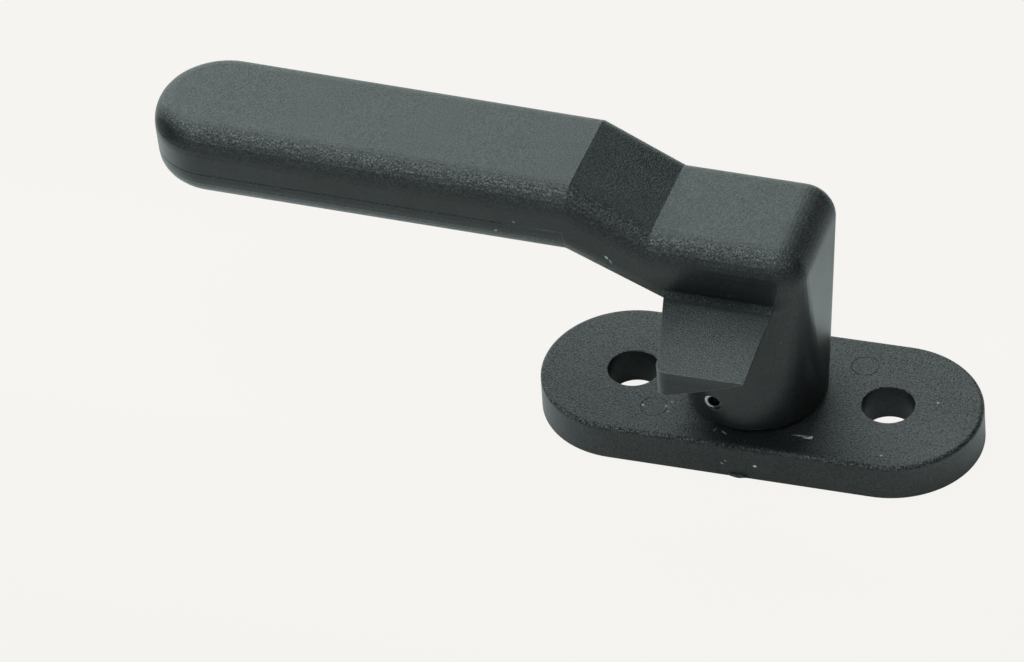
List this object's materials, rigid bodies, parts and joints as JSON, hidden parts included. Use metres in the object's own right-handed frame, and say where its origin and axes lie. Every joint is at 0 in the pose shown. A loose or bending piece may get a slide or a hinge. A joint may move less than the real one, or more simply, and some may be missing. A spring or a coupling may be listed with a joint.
{
  "type": "locking handle",
  "caption": "Quarter-turn locking handle: a cranked lever with a ramped locking nose, turning on a spindle in a flat base plate with fixing holes.",
  "frame": {"origin": "on the plate's underside, half way between the two fixing holes, which is on the lever's turning axis", "axes": "+X along the plate, from the grip's side to the free end; -Y the side on which the nose locks; +Z away from the mounting surface, along the turning axis"},
  "size_m": [0.1609, 0.0515, 0.0594],
  "materials": {
    "plate_plastic": "black glass-filled nylon, fine moulded grain",
    "lever_plastic": "black glass-filled nylon, fine moulded grain, worn lighter on top",
    "spindle_steel": "turned, zinc plated",
    "washer_plastic": "natural acetal",
    "spring_steel": "bright spring steel",
    "bush_bronze": "sintered bronze"
  },
  "bodies": {
    "base": {"base_plate": "plate_plastic", "spindle": "spindle_steel", "thrust_washer": "washer_plastic", "wave_spring": "spring_steel"},
    "handle": {"lever": "lever_plastic", "grip_cover": "lever_plastic", "hub_bush": "bush_bronze", "spring_pin": "spring_steel"}
  },
  "joints": [
    {"name": "lever_turn", "type": "hinge", "parent": "base", "child": "handle", "pos_m": [0, 0, 0], "axis": [0, 0, 1], "range_deg": [-88, 2]}
  ]
}
